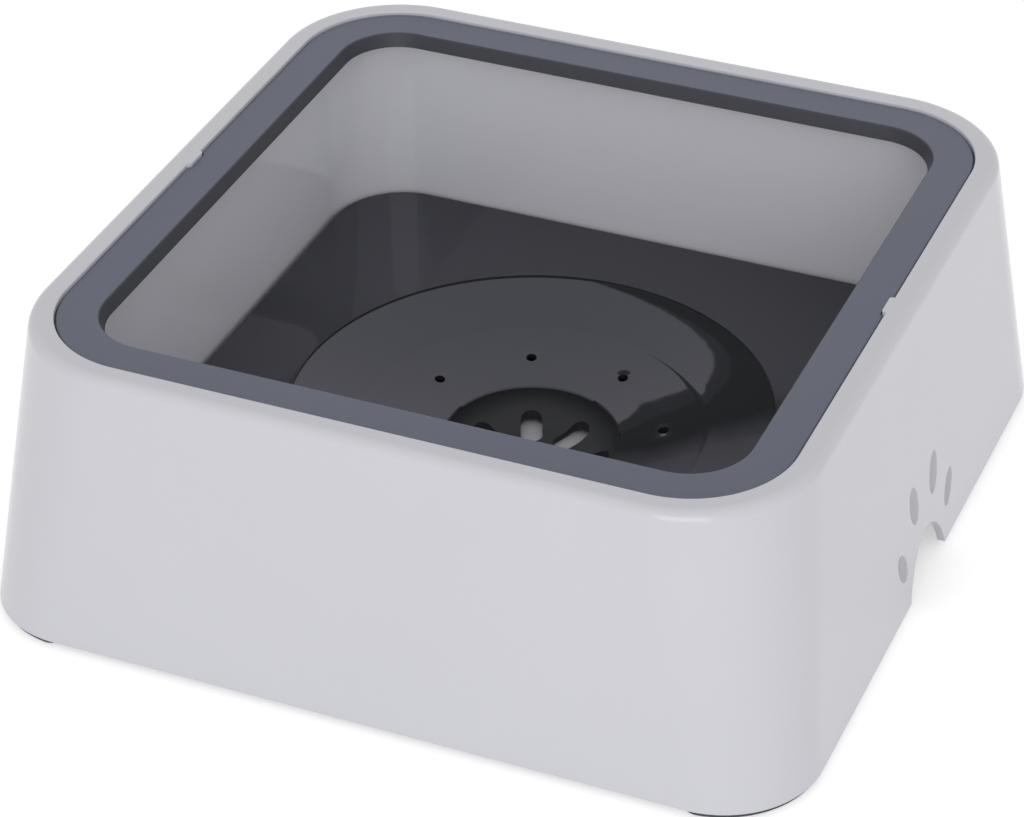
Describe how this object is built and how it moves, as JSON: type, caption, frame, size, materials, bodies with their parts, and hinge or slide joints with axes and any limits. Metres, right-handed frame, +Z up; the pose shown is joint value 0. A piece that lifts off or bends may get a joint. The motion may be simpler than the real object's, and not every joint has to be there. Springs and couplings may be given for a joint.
{
  "type": "dog bowl",
  "caption": "Square dog water bowl: a tapered shell on corner feet, a basin, a lift-off splash ring and a hollow dished plate that floats up with the water.",
  "frame": {"origin": "on the surface that the bowl stands on, under the middle of the bowl", "axes": "+Z up, -Y towards the front, +X towards the right side with a paw cut-out"},
  "size_m": [0.2588, 0.2588, 0.0937],
  "materials": {
    "shell_plastic": "pale lavender white moulded plastic, soft gloss",
    "basin_plastic": "white moulded plastic, polished inside",
    "ring_plastic": "blue grey moulded plastic, satin",
    "plate_plastic": "dark grey moulded plastic, high gloss",
    "foot_rubber": "matt grey rubber"
  },
  "bodies": {
    "bowl": {"outer_shell": "shell_plastic", "water_basin": "basin_plastic", "foot_front_left": "foot_rubber", "foot_front_right": "foot_rubber", "foot_rear_left": "foot_rubber", "foot_rear_right": "foot_rubber"},
    "ring": {"splash_ring": "ring_plastic"},
    "float": {"float_plate": "plate_plastic", "float_tray": "plate_plastic"}
  },
  "joints": [
    {"name": "ring_lift", "type": "slide", "parent": "bowl", "child": "ring", "axis": [0, 0, 1], "range_m": [0, 0.05]},
    {"name": "float_rise", "type": "slide", "parent": "bowl", "child": "float", "axis": [0, 0, 1], "range_m": [0, 0.0584]}
  ]
}
